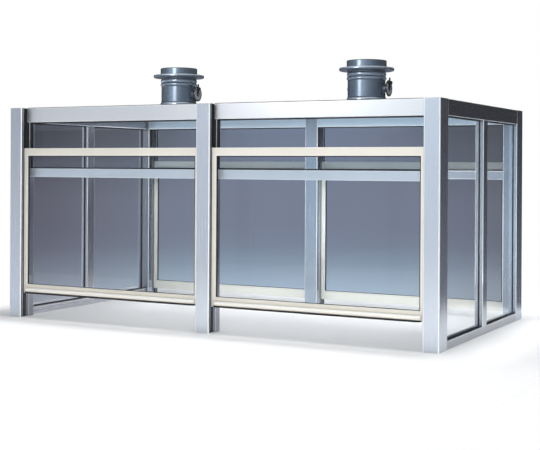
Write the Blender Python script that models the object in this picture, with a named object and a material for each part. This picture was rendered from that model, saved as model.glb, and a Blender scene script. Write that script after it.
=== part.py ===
"""Free-standing double-bay fume hood: an aluminium frame with tinted panes, four vertically sliding
sashes with counterweights inside the corner posts, and two round dampers on the roof.

Metres, +Z up. The hood stands on z = 0, centred on x = 0 and y = 0, with its front towards -Y.
All dimensions below are in millimetres.
"""

import bmesh
import bpy
from math import cos, pi, radians, sin

MM = 0.001
GAP = 0.3  # left between pieces that touch

# Overall frame
WIDTH = 2440.0
DEPTH = 1320.0
HEIGHT = 1125.0

# Extruded profiles
POST_W = 78.0
POST_D = 108.0
WALL = 3.0
RAIL_H = 76.0
RAIL_INSET = 45.0
BOTTOM_RAIL_H = 40.0
SIDE_RAIL_T = 60.0
MULLION_W = 66.0
MULLION_T = 44.0
CROSSBAR_LOW = 754.0
CROSSBAR_HIGH = 800.0
CROSSBAR_INSET = 66.0
CROSSBAR_T = 40.0

# Guide channel for the sashes in the posts' sides, measured in from the front or rear face
CHANNEL_NEAR = 26.0
CHANNEL_FAR = 66.0
CHANNEL_DEEP = 12.0

# Fixed glazing
UPPER_PANE_INSET = 84.0
UPPER_PANE_T = 5.0
SIDE_PANE_INSET = 20.0
SIDE_PANE_T = 5.0

# Roof
ROOF_LOW = 1096.0
ROOF_T = 6.0
ROOF_BEAM_W = 60.0
ROOF_HOLE_R = 99.0

# Sashes
SASH_INSET = 28.0
SASH_T = 15.0
SASH_IN_CHANNEL = 10.0
STILE_W = 32.0
SASH_TOP_H = 40.0
SASH_BOTTOM_H = 49.0
SASH_PANE_T = 4.0
FRONT_SASH_LOW = 128.0
FRONT_SASH_HIGH = 908.0
REAR_SASH_LOW = 40.0
REAR_SASH_HIGH = 847.0
HANDLE_UP = 8.0  # underside of the handle above the sash's lower edge
HANDLE_H = 24.0
HANDLE_OUT = 23.0
HANDLE_SHORT = 14.0  # each end stops this far from the post

# Counterweights and pulleys inside the corner posts
WEIGHT_W = 50.0
WEIGHT_D = 84.0
WEIGHT_L = 340.0
FRONT_WEIGHT_LOW = 562.0
REAR_WEIGHT_LOW = 650.0
PULLEY_R = 22.0
PULLEY_GROOVE_R = 18.0
PULLEY_W = 14.0
PULLEY_Z = 1082.0
PULLEY_AXLE_R = 5.0

# Dampers
DAMPER_X = 577.0
DAMPER_Y = 18.0
DAMPER_BORE_R = 94.0
DAMPER_TUBE_R = 98.0
DAMPER_BAND_R = 103.5
DAMPER_FLANGE_R = 142.5
DAMPER_TOP = 1368.0
SPINDLE_Z = 1222.0
SPINDLE_R = 6.0
BLADE_R = 91.5
BLADE_T = 2.4
BOSS_R = 20.0
BOSS_END = 121.7
DIAL_R = 42.0
DIAL_T = 4.0
LEVER_T = 3.7
LEVER_REACH = 56.0
LOCK_RADIUS = 28.0
ROUND_SEGMENTS = 36
SMALL_SEGMENTS = 16

BAYS = {
    "left": (-WIDTH / 2 + POST_W, -POST_W / 2),
    "right": (POST_W / 2, WIDTH / 2 - POST_W),
}
FACES = {"front": -1.0, "rear": 1.0}
SIDES = {"left": -1.0, "right": 1.0}


def clear_scene():
    for item in list(bpy.data.objects):
        bpy.data.objects.remove(item, do_unlink=True)


def material(name, colour, roughness, metallic, alpha=1.0):
    made = bpy.data.materials.new(name)
    made.use_nodes = True
    shader = made.node_tree.nodes["Principled BSDF"]
    shader.inputs["Base Color"].default_value = (*colour, 1.0)
    shader.inputs["Roughness"].default_value = roughness
    shader.inputs["Metallic"].default_value = metallic
    shader.inputs["Alpha"].default_value = alpha
    made.diffuse_color = (*colour, alpha)
    return made


def empty(name, at):
    holder = bpy.data.objects.new(name, None)
    holder.empty_display_size = 0.05
    holder.location = [c * MM for c in at]
    bpy.context.scene.collection.objects.link(holder)
    return holder


def solid(name, shape, look, origin=(0.0, 0.0, 0.0), parent=None, cutter=False):
    """An object from (points, faces) in world millimetres, with its origin where asked."""
    points, faces = shape
    mesh = bpy.data.meshes.new(name)
    mesh.from_pydata([[(c - o) * MM for c, o in zip(p, origin)] for p in points], [], faces)
    bm = bmesh.new()
    bm.from_mesh(mesh)
    bmesh.ops.recalc_face_normals(bm, faces=bm.faces)
    bm.to_mesh(mesh)
    bm.free()
    made = bpy.data.objects.new(name, mesh)
    made.location = [c * MM for c in origin]
    if parent is not None:
        made.parent = parent
        made.location = [c * MM - p for c, p in zip(origin, parent.location)]
    if look is not None:
        mesh.materials.append(look)
    if cutter:
        made.hide_render = True
        made.display_type = "WIRE"
    bpy.context.scene.collection.objects.link(made)
    return made


def along(axis, a, b, t):
    """World point from two profile coordinates and the distance along the axis."""
    if axis == "x":
        return (t, a, b)
    if axis == "y":
        return (a, t, b)
    return (a, b, t)


def prism(axis, outline, low, high):
    n = len(outline)
    points = [along(axis, a, b, low) for a, b in outline]
    points += [along(axis, a, b, high) for a, b in outline]
    faces = [(i, (i + 1) % n, n + (i + 1) % n, n + i) for i in range(n)]
    faces.append(tuple(range(n)))
    faces.append(tuple(range(n, 2 * n)))
    return points, faces


def tube(axis, outline, hollow, low, high, closed_end=0.0):
    """A hollow extrusion. With closed_end, its high end is shut by a plate this thick."""
    n = len(outline)
    points = [along(axis, a, b, low) for a, b in outline]
    points += [along(axis, a, b, high) for a, b in outline]
    points += [along(axis, a, b, low) for a, b in hollow]
    points += [along(axis, a, b, high - closed_end) for a, b in hollow]
    faces = []
    for i in range(n):
        j = (i + 1) % n
        faces.append((i, j, n + j, n + i))
        faces.append((2 * n + i, 2 * n + j, 3 * n + j, 3 * n + i))
        faces.append((i, j, 2 * n + j, 2 * n + i))
        if not closed_end:
            faces.append((n + i, n + j, 3 * n + j, 3 * n + i))
    if closed_end:
        faces.append(tuple(range(n, 2 * n)))
        faces.append(tuple(range(3 * n, 4 * n)))
    return points, faces


def rectangle(a0, b0, a1, b1):
    return [(a0, b0), (a1, b0), (a1, b1), (a0, b1)]


def box(x0, y0, z0, x1, y1, z1):
    return prism("z", rectangle(x0, y0, x1, y1), z0, z1)


def box_tube(axis, a0, b0, a1, b1, low, high, wall=WALL):
    outline = rectangle(a0, b0, a1, b1)
    hollow = rectangle(a0 + wall, b0 + wall, a1 - wall, b1 - wall)
    return tube(axis, outline, hollow, low, high)


def circle(a, b, radius, segments):
    return [
        (a + radius * cos(2 * pi * i / segments), b + radius * sin(2 * pi * i / segments))
        for i in range(segments)
    ]


def turned(axis, centre, profile, segments):
    """A solid of revolution. profile runs from axis to axis as (radius, distance along the axis)."""
    ca, cb = centre
    points = []
    for radius, t in profile:
        for a, b in circle(ca, cb, radius, segments):
            points.append(along(axis, a, b, t))
    rows = len(profile)
    faces = []
    for r in range(rows - 1):
        for i in range(segments):
            j = (i + 1) % segments
            here = r * segments
            there = here + segments
            faces.append((here + i, here + j, there + j, there + i))
    faces.append(tuple(range(segments)))
    faces.append(tuple(range((rows - 1) * segments, rows * segments)))
    return points, faces


def turned_ring(centre, profile, segments):
    """A ring about a vertical axis. profile is a closed loop of (radius, z)."""
    cx, cy = centre
    points = []
    for radius, z in profile:
        for x, y in circle(cx, cy, radius, segments):
            points.append((x, y, z))
    rows = len(profile)
    faces = []
    for r in range(rows):
        here = r * segments
        there = (r + 1) % rows * segments
        for i in range(segments):
            j = (i + 1) % segments
            faces.append((here + i, here + j, there + j, there + i))
    return points, faces


def boolean(target, cutter, operation):
    step = target.modifiers.new(operation.title() + " " + cutter.name, "BOOLEAN")
    step.operation = operation
    step.solver = "EXACT"
    step.object = cutter


def post_loops(x0, x1, face, channels):
    """Outline and hollow of one post. channels holds the post's sides, -1 or 1, that guide a sash."""
    outer = face * DEPTH / 2
    inner = face * (DEPTH / 2 - POST_D)
    near = face * (DEPTH / 2 - CHANNEL_NEAR)
    far = face * (DEPTH / 2 - CHANNEL_FAR)
    step = face * WALL
    outline = [(x0, outer), (x1, outer)]
    hollow = [(x0 + WALL, outer - step), (x1 - WALL, outer - step)]
    if 1 in channels:
        floor = x1 - CHANNEL_DEEP
        outline += [(x1, near), (floor, near), (floor, far), (x1, far)]
        hollow += [
            (x1 - WALL, near + step),
            (floor - WALL, near + step),
            (floor - WALL, far - step),
            (x1 - WALL, far - step),
        ]
    outline += [(x1, inner), (x0, inner)]
    hollow += [(x1 - WALL, inner + step), (x0 + WALL, inner + step)]
    if -1 in channels:
        floor = x0 + CHANNEL_DEEP
        outline += [(x0, far), (floor, far), (floor, near), (x0, near)]
        hollow += [
            (x0 + WALL, far - step),
            (floor + WALL, far - step),
            (floor + WALL, near + step),
            (x0 + WALL, near + step),
        ]
    return outline, hollow


def build_posts(look):
    places = {
        "left": (-WIDTH / 2, -WIDTH / 2 + POST_W, (1,)),
        "middle": (-POST_W / 2, POST_W / 2, (-1, 1)),
        "right": (WIDTH / 2 - POST_W, WIDTH / 2, (-1,)),
    }
    for row, face in FACES.items():
        for column, (x0, x1, channels) in places.items():
            outline, hollow = post_loops(x0, x1, face, channels)
            shape = tube("z", outline, hollow, 0.0, HEIGHT, closed_end=WALL)
            origin = ((x0 + x1) / 2, face * (DEPTH / 2 - POST_D / 2), 0.0)
            solid(f"post_{row}_{column}", shape, look, origin)


def build_rails(look):
    for row, face in FACES.items():
        near = face * (DEPTH / 2 - RAIL_INSET)
        far = face * (DEPTH / 2 - POST_D)
        bar_near = face * (DEPTH / 2 - CROSSBAR_INSET)
        bar_far = face * (DEPTH / 2 - CROSSBAR_INSET - CROSSBAR_T)
        for bay, (x0, x1) in BAYS.items():
            low, high = x0 + GAP, x1 - GAP
            middle = (x0 + x1) / 2
            shape = box_tube(
                "x", min(near, far), HEIGHT - RAIL_H, max(near, far), HEIGHT, low, high
            )
            origin = (middle, (near + far) / 2, HEIGHT - RAIL_H)
            solid(f"top_rail_{row}_{bay}", shape, look, origin)
            shape = box_tube(
                "x",
                min(bar_near, bar_far),
                CROSSBAR_LOW,
                max(bar_near, bar_far),
                CROSSBAR_HIGH,
                low,
                high,
            )
            origin = (middle, (bar_near + bar_far) / 2, CROSSBAR_LOW)
            solid(f"crossbar_{row}_{bay}", shape, look, origin)
    end = DEPTH / 2 - POST_D - GAP
    for side, way in SIDES.items():
        outer = way * WIDTH / 2
        inner = way * (WIDTH / 2 - SIDE_RAIL_T)
        x0, x1 = min(outer, inner), max(outer, inner)
        origin = ((x0 + x1) / 2, 0.0, HEIGHT - RAIL_H)
        shape = box_tube("y", x0, HEIGHT - RAIL_H, x1, HEIGHT, -end, end)
        solid(f"top_rail_side_{side}", shape, look, origin)
        shape = box_tube("y", x0, 0.0, x1, BOTTOM_RAIL_H, -end, end)
        solid(f"bottom_rail_side_{side}", shape, look, ((x0 + x1) / 2, 0.0, 0.0))
        inner = way * (WIDTH / 2 - MULLION_T)
        x0, x1 = min(outer, inner), max(outer, inner)
        low, high = BOTTOM_RAIL_H + GAP, HEIGHT - RAIL_H - GAP
        half = MULLION_W / 2
        shape = box_tube("z", x0, -half, x1, half, low, high)
        solid(f"mullion_side_{side}", shape, look, ((x0 + x1) / 2, 0.0, low))


def build_fixed_panes(look):
    low, high = CROSSBAR_HIGH + GAP, HEIGHT - RAIL_H - GAP
    for row, face in FACES.items():
        near = face * (DEPTH / 2 - UPPER_PANE_INSET)
        far = near - face * UPPER_PANE_T
        for bay, (x0, x1) in BAYS.items():
            shape = box(x0 + GAP, min(near, far), low, x1 - GAP, max(near, far), high)
            origin = ((x0 + x1) / 2, (near + far) / 2, low)
            solid(f"upper_pane_{row}_{bay}", shape, look, origin)
    low = BOTTOM_RAIL_H + GAP
    for side, way in SIDES.items():
        near = way * (WIDTH / 2 - SIDE_PANE_INSET)
        far = near - way * SIDE_PANE_T
        for row, face in FACES.items():
            y0 = face * (MULLION_W / 2 + GAP)
            y1 = face * (DEPTH / 2 - POST_D - GAP)
            shape = box(min(near, far), min(y0, y1), low, max(near, far), max(y0, y1), high)
            origin = ((near + far) / 2, (y0 + y1) / 2, low)
            solid(f"side_pane_{side}_{row}", shape, look, origin)


def build_roof(panel_look, beam_look):
    half_x = WIDTH / 2 - SIDE_RAIL_T - GAP
    half_y = DEPTH / 2 - POST_D - GAP
    shape = box(-half_x, -half_y, ROOF_LOW, half_x, half_y, ROOF_LOW + ROOF_T)
    panel = solid("roof_panel", shape, panel_look, (0.0, 0.0, ROOF_LOW))
    for side, way in SIDES.items():
        hole = prism(
            "z",
            circle(way * DAMPER_X, DAMPER_Y, ROOF_HOLE_R, ROUND_SEGMENTS),
            ROOF_LOW - 20,
            ROOF_LOW + ROOF_T + 20,
        )
        boolean(panel, solid(f"roof_hole_cutter_{side}", hole, None, cutter=True), "DIFFERENCE")
    half = ROOF_BEAM_W / 2
    shape = box_tube(
        "y", -half, ROOF_LOW + ROOF_T + GAP, half, HEIGHT, -half_y, half_y, wall=2.5
    )
    solid("roof_beam", shape, beam_look, (0.0, 0.0, ROOF_LOW + ROOF_T + GAP))


def build_sash(row, bay, frame_look, pane_look):
    face = FACES[row]
    low = FRONT_SASH_LOW if row == "front" else REAR_SASH_LOW
    high = FRONT_SASH_HIGH if row == "front" else REAR_SASH_HIGH
    x0 = BAYS[bay][0] - SASH_IN_CHANNEL
    x1 = BAYS[bay][1] + SASH_IN_CHANNEL
    near = face * (DEPTH / 2 - SASH_INSET)
    far = near - face * SASH_T
    middle = (near + far) / 2
    at = ((x0 + x1) / 2, middle, low)
    slide = empty(f"sash_{row}_{bay}_slide", at)
    outline = rectangle(x0, low, x1, high)
    opening = rectangle(x0 + STILE_W, low + SASH_BOTTOM_H, x1 - STILE_W, high - SASH_TOP_H)
    shape = tube("y", outline, opening, min(near, far), max(near, far))
    solid(f"sash_frame_{row}_{bay}", shape, frame_look, at, slide)
    shape = box(
        x0 + STILE_W + GAP,
        middle - SASH_PANE_T / 2,
        low + SASH_BOTTOM_H + GAP,
        x1 - STILE_W - GAP,
        middle + SASH_PANE_T / 2,
        high - SASH_TOP_H - GAP,
    )
    solid(f"sash_pane_{row}_{bay}", shape, pane_look, at, slide)
    back = near + face * GAP
    nose = near + face * HANDLE_OUT
    z0 = low + HANDLE_UP
    profile = [(back, z0), (back, z0 + HANDLE_H)]
    radius = HANDLE_H / 2
    for i in range(7):
        angle = pi / 2 - pi * i / 6
        profile.append(
            (nose + face * radius * (cos(angle) - 1.0), z0 + radius + radius * sin(angle))
        )
    shape = prism("x", profile, BAYS[bay][0] + HANDLE_SHORT, BAYS[bay][1] - HANDLE_SHORT)
    solid(f"sash_handle_{row}_{bay}", shape, frame_look, at, slide)


def build_counterweight(row, side, weight_look, pulley_look):
    face = FACES[row]
    way = SIDES[side]
    low = FRONT_WEIGHT_LOW if row == "front" else REAR_WEIGHT_LOW
    hollow_near = WIDTH / 2 - WALL
    hollow_far = WIDTH / 2 - POST_W + CHANNEL_DEEP + WALL
    x = way * (hollow_near + hollow_far) / 2
    y = face * (DEPTH / 2 - POST_D / 2)
    slide = empty(f"counterweight_{row}_{side}_slide", (x, y, low))
    shape = box(
        x - WEIGHT_W / 2,
        y - WEIGHT_D / 2,
        low,
        x + WEIGHT_W / 2,
        y + WEIGHT_D / 2,
        low + WEIGHT_L,
    )
    solid(f"counterweight_{row}_{side}", shape, weight_look, (x, y, low), slide)
    half = POST_D / 2 - WALL - GAP
    profile = [
        (PULLEY_AXLE_R, y - half),
        (PULLEY_AXLE_R, y - PULLEY_W / 2),
        (PULLEY_R, y - PULLEY_W / 2),
        (PULLEY_GROOVE_R, y - PULLEY_W / 6),
        (PULLEY_GROOVE_R, y + PULLEY_W / 6),
        (PULLEY_R, y + PULLEY_W / 2),
        (PULLEY_AXLE_R, y + PULLEY_W / 2),
        (PULLEY_AXLE_R, y + half),
    ]
    shape = turned("y", (x, PULLEY_Z), profile, SMALL_SEGMENTS)
    solid(f"pulley_{row}_{side}", shape, pulley_look, (x, y, PULLEY_Z))


def damper_profile():
    """Closed (radius, z) loop of the damper's body: up the outside, then down the bore."""
    band = DAMPER_BAND_R
    roof = ROOF_LOW + ROOF_T + GAP
    return [
        (DAMPER_TUBE_R - 2, ROOF_LOW - 10),
        (DAMPER_TUBE_R - 2, roof),
        (band + 22, roof),
        (band + 22, roof + 4),
        (band, roof + 5),
        (band, 1166.0),
        (band - 2, 1174.0),
        (DAMPER_TUBE_R, 1179.0),
        (DAMPER_TUBE_R, 1268.0),
        (band, 1270.0),
        (band, 1277.0),
        (band - 3, 1283.0),
        (band - 3, 1289.0),
        (band - 1.5, 1292.0),
        (band - 1.5, 1301.0),
        (band - 4, 1306.0),
        (band - 4, 1312.0),
        (DAMPER_FLANGE_R - 4, 1314.0),
        (DAMPER_FLANGE_R, 1318.0),
        (DAMPER_FLANGE_R, 1327.0),
        (DAMPER_FLANGE_R - 3, 1330.0),
        (band - 0.5, 1331.0),
        (band - 0.5, DAMPER_TOP - 2),
        (band - 2, DAMPER_TOP),
        (DAMPER_BORE_R + 2, DAMPER_TOP),
        (DAMPER_BORE_R, DAMPER_TOP - 4),
        (DAMPER_BORE_R, ROOF_LOW - 10),
    ]


def build_damper_body(side, look):
    x = SIDES[side] * DAMPER_X
    shape = turned_ring((x, DAMPER_Y), damper_profile(), ROUND_SEGMENTS)
    body = solid(f"damper_body_{side}", shape, look, (x, DAMPER_Y, ROOF_LOW))
    boss = prism(
        "x", circle(DAMPER_Y, SPINDLE_Z, BOSS_R, SMALL_SEGMENTS), x + 95.0, x + BOSS_END
    )
    boolean(body, solid(f"boss_{side}", boss, None, cutter=True), "UNION")
    bearing = prism("x", circle(DAMPER_Y, SPINDLE_Z, 12.0, SMALL_SEGMENTS), x - 105.0, x - 95.5)
    boolean(body, solid(f"bearing_{side}", bearing, None, cutter=True), "UNION")
    bore = prism(
        "x",
        circle(DAMPER_Y, SPINDLE_Z, SPINDLE_R + 0.15, SMALL_SEGMENTS),
        x - DAMPER_FLANGE_R,
        x + DAMPER_FLANGE_R,
    )
    boolean(body, solid(f"spindle_bore_{side}", bore, None, cutter=True), "DIFFERENCE")


def build_damper_controls(side, blade_look, dial_look, lever_look):
    x = SIDES[side] * DAMPER_X
    at = (x, DAMPER_Y, SPINDLE_Z)
    turn = empty(f"damper_blade_{side}_turn", at)
    disc = prism(
        "y",
        circle(x, SPINDLE_Z, BLADE_R, ROUND_SEGMENTS),
        DAMPER_Y - BLADE_T / 2,
        DAMPER_Y + BLADE_T / 2,
    )
    blade = solid(f"damper_blade_{side}", disc, blade_look, at, turn)
    spindle = prism(
        "x", circle(DAMPER_Y, SPINDLE_Z, SPINDLE_R, SMALL_SEGMENTS), x - 107.0, x + 137.0
    )
    boolean(blade, solid(f"spindle_{side}", spindle, None, cutter=True), "UNION")

    dial_near = x + BOSS_END + GAP
    plate = prism(
        "x", circle(DAMPER_Y, SPINDLE_Z, DIAL_R, ROUND_SEGMENTS), dial_near, dial_near + DIAL_T
    )
    dial = solid(f"damper_dial_{side}", plate, dial_look, at)
    hole = prism(
        "x",
        circle(DAMPER_Y, SPINDLE_Z, SPINDLE_R + 0.4, SMALL_SEGMENTS),
        dial_near - 5,
        dial_near + DIAL_T + 5,
    )
    boolean(dial, solid(f"dial_hole_{side}", hole, None, cutter=True), "DIFFERENCE")
    slot = []
    first, last = radians(-10), radians(100)
    for radius, order in ((LOCK_RADIUS + 3.6, range(13)), (LOCK_RADIUS - 3.6, range(12, -1, -1))):
        for i in order:
            angle = first + (last - first) * i / 12
            slot.append((DAMPER_Y - radius * sin(angle), SPINDLE_Z + radius * cos(angle)))
    cut = prism("x", slot, dial_near - 5, dial_near + DIAL_T + 5)
    boolean(dial, solid(f"dial_slot_{side}", cut, None, cutter=True), "DIFFERENCE")

    lever_near = dial_near + DIAL_T + 1.0
    outline = []
    for i in range(13):
        angle = pi + pi * i / 12
        outline.append((DAMPER_Y + 11.0 * cos(angle), SPINDLE_Z + 11.0 * sin(angle)))
    for i in range(9):
        angle = pi * i / 8
        outline.append(
            (DAMPER_Y + 7.0 * cos(angle), SPINDLE_Z + LEVER_REACH - 7.0 + 7.0 * sin(angle))
        )
    shape = prism("x", outline, lever_near, lever_near + LEVER_T)
    lever = solid(f"damper_lever_{side}", shape, lever_look, at, turn)
    for name, radius, up in (
        (f"lever_hub_hole_{side}", SPINDLE_R + 0.3, 0.0),
        (f"lever_stud_hole_{side}", 3.3, LOCK_RADIUS),
    ):
        hole = prism(
            "x",
            circle(DAMPER_Y, SPINDLE_Z + up, radius, SMALL_SEGMENTS),
            lever_near - 5,
            lever_near + LEVER_T + 5,
        )
        boolean(lever, solid(name, hole, None, cutter=True), "DIFFERENCE")

    behind = dial_near - GAP
    front = lever_near + LEVER_T + GAP
    centre = (DAMPER_Y, SPINDLE_Z + LOCK_RADIUS)
    profile = [
        (5.5, behind - 4.4),
        (5.5, behind),
        (3.0, behind),
        (3.0, front),
        (8.5, front),
        (9.5, front + 1.5),
        (9.5, front + 9.0),
        (7.5, front + 11.0),
    ]
    shape = turned("x", centre, profile, 16)
    at = (x, DAMPER_Y, SPINDLE_Z + LOCK_RADIUS)
    solid(f"damper_lock_knob_{side}", shape, lever_look, at, turn)


def main():
    clear_scene()
    aluminium = material("anodised_aluminium", (0.62, 0.66, 0.72), 0.32, 1.0)
    glass = material("tinted_glass", (0.30, 0.36, 0.44), 0.05, 0.0, alpha=0.4)
    cream = material("cream_sash_profile", (0.80, 0.76, 0.66), 0.35, 0.0)
    pale = material("roof_sheet", (0.78, 0.79, 0.80), 0.5, 0.0)
    grey = material("grey_damper_plastic", (0.17, 0.20, 0.24), 0.25, 0.0)
    dial = material("dial_plate", (0.45, 0.46, 0.48), 0.4, 1.0)
    black = material("black_plastic", (0.02, 0.02, 0.02), 0.4, 0.0)
    iron = material("counterweight_iron", (0.10, 0.10, 0.10), 0.6, 1.0)
    nylon = material("pulley_nylon", (0.85, 0.85, 0.80), 0.5, 0.0)
    build_posts(aluminium)
    build_rails(aluminium)
    build_fixed_panes(glass)
    build_roof(pale, aluminium)
    for row in FACES:
        for bay in BAYS:
            build_sash(row, bay, cream, glass)
            build_counterweight(row, bay, iron, nylon)
    for side in SIDES:
        build_damper_body(side, grey)
        build_damper_controls(side, grey, dial, black)


main()
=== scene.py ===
"""Looks of the double-bay fume hood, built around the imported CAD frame.

Metres, +Z up, front towards -Y. Every frame member, sash, handle and damper is a finished piece
that stands for its CAD node. The panes, the roof panel, the counterweights and the pulleys stay as
packed and take a material.
"""

from math import cos, pi, radians, sin

import bmesh
import bpy
from mathutils import Matrix, Vector


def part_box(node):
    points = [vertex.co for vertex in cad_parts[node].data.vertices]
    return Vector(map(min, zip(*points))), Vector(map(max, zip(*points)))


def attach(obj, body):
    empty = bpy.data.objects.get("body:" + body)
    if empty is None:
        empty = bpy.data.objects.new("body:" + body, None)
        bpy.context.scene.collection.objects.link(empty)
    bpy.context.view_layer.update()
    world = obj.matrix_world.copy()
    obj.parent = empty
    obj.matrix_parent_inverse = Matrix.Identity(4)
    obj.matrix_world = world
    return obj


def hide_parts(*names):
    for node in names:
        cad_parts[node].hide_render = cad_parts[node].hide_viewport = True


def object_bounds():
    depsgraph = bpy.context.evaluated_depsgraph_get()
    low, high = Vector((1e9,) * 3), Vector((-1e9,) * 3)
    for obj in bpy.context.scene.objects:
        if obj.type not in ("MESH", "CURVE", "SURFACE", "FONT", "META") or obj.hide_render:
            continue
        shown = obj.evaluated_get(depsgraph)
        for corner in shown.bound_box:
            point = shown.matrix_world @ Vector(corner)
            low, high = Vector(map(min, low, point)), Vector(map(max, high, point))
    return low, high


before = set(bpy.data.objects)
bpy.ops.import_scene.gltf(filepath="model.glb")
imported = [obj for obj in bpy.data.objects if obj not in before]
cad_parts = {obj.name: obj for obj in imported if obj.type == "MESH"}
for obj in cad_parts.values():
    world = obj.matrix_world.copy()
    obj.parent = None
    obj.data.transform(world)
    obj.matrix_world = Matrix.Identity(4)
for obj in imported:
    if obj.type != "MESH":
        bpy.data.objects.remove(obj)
cad_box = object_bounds()

MM = 0.001
ROWS = {"front": -1.0, "rear": 1.0}
SIDES = {"left": -1.0, "right": 1.0}
# Painted shade on the posts' inner side faces, by row
INNER_SHADE_LOOK = {"front": "post_inner", "rear": "post_rear"}
# Each side's top rail, bottom rail and mullion looks; the left side's are darker copies of the
# aluminium, painted shade
SIDE_LOOKS = {
    "left": ("rail_left", "rail_left_low", "mullion_left"),
    "right": ("rail_y", "rail_y", "mullion"),
}
# By row. The rear row's looks are copies of the front's with painted light and shade: darker posts
# and crossbars, a paler bluer top rail.
POST_LOOK = {"front": "post", "rear": "post_rear"}
RAIL_LOOK = {"front": "rail_x", "rear": "rail_rear"}
CROSSBAR_LOOK = {"front": "crossbar", "rear": "crossbar_rear"}
# Each row's sash cream and a paler copy of it that paints highlights on edges; the rear cream is
# painted shade
CREAM_LOOKS = {"front": ("cream", "cream_painted_highlight"), "rear": ("cream_rear", "cream_rear_painted_highlight")}
SEAL = "black_plastic"  # the slot of every rubber piece
METAL_SLOT = "anodised_aluminium"
CREAM_SLOT = "cream_sash_profile"
ARC_STEPS = 4  # faces in each rounded corner of a profile
SMOOTH_ANGLE = 32.0  # edges sharper than this stay crisp
BEVEL_ANGLE = 40.0  # edges sharper than this are rounded

# Extruded profiles, in mm
WALL = 3.0
POST_CORNER = 5.0
RAIL_CORNER = 2.5
END_BEVEL = 0.7
CHANNEL_NEAR = 26.0
CHANNEL_FAR = 66.0
CHANNEL_DEEP = 12.0
LIP_CORNER = 1.2
GROOVE_AT = 12.5  # fine groove in a channel side, in from the outer face
GROOVE_W = 2.5
GROOVE_DEEP = 1.2
EDGE_GROOVE_AT = 6.0  # fine dark line behind the front corner on the outer sides

# Guide lining in each channel, in mm from the post's outer face and from its side face
LINING_CLEAR = 0.3
LINING_T = 1.0
LINING_BLOCK_AT = 44.4
LINING_BLOCK_LOW = 1.0
LINING_JOINT = 320.0  # the front posts' black lining starts this high, over an aluminium filler
LIP_SEALS = (("outer", 5.2, 11.0), ("inner", 17.5, 24.6))  # from and to, in from the outer face
LIP_SEAL_T = 0.8

# Sashes, in mm
STILE_W = 32.0
SASH_TOP_H = 40.0
SASH_BOTTOM_H = 49.0
BEAD_W = 6.0
BEAD_DEEP = 1.2
SEAL_W = 4.5
SEAL_FOOT = 2.2
SEAL_OUT = 2.4
HANDLE_END = 30.0  # length of the sweep at each end of the lift rail
HANDLE_TIP = 0.22  # share of the rail's reach that is left at its very end
HANDLE_SECTIONS = 8
NOSE_STEPS = 12
NOSE_TURN = 78.0  # degrees up and down that the rail's nose turns through
# these nose faces take the cream's painted highlight
NOSE_BRIGHT = range(5, 9)  # its faces that catch the light
GRIP_T = 7.0  # black grip strip under the lift rail
GRIP_IN = 1.5
GRIP_OUT = 2.0  # least depth of the strip at its ends
GRIP_GAP = 0.4
FOOT_STRIP_H = 12.0  # ribbed strip on the sash's lower member, above the lift rail
FOOT_STRIP_T = 1.6
FOOT_STRIP_UP = 1.6
RIB_PITCH = 3.6
RIB_NICK = 0.6

# Glazing seals of the fixed panes, in mm
PANE_SEAL_W = 6.0
PANE_SEAL_OUT = 1.6
UPPER_SEAL_OUT = 4.0
PANE_SEAL_FOOT = 4.8

# Seal round the roof panel, and black strips along the roof's front and rear edges that paint the
# shadow line there, in mm
ROOF_SEAL_W = 7.0
ROOF_SEAL_H = 5.0
ROOF_SEAL_LIP = 3.4  # its height where it lies over the panel
CAP_IN = 1.5
CAP_W = 9.0
CAP_H = 2.6

# Dampers, in mm
DAMPER_SEGMENTS = 96
BORE_R = 94.0
TUBE_R = 98.0
BAND_R = 103.5
FLANGE_R = 142.5
FLANGE_DOWN = 54.0  # underside of the duct flange below the collar's top
FOOT_UP = 16.3  # underside of the foot flange above the body's low end, on the roof panel
FOOT_R = BAND_R + 22.0
FOOT_T = 4.0
SPINDLE_R = 6.0
BOSS_R = 20.0
BOSS_END = 121.7
DIAL_R = 42.0
DIAL_EDGE = 1.6  # the black rim overlaps the plate by this much
RIM_IN = 35.5
RIM_UP = 0.8
FLAP_T = 2.4
SLOT_RADIUS = 28.0
SLOT_HALF = 3.6
SLOT_SPAN = (-10.0, 100.0)  # degrees from straight up towards the front
SLOT_STEPS = 24
TICKS = 10
TICK_HALF = 0.5
LEVER_TIP = 7.0
STUD_HOLE_R = 3.3
KNOB_HEAD = 11.0
KNOB_LOBES = 7
SCREWS = 8
SCREW_PROFILE = ((5.2, 0.0), (5.2, 1.2), (4.4, 2.4), (2.6, 3.2), (0.9, 3.4))
SCREW_SEGMENTS = 20
ROD_SEGMENTS = 48
THROUGH = 5.0  # how far a cutter runs past what it cuts

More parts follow.
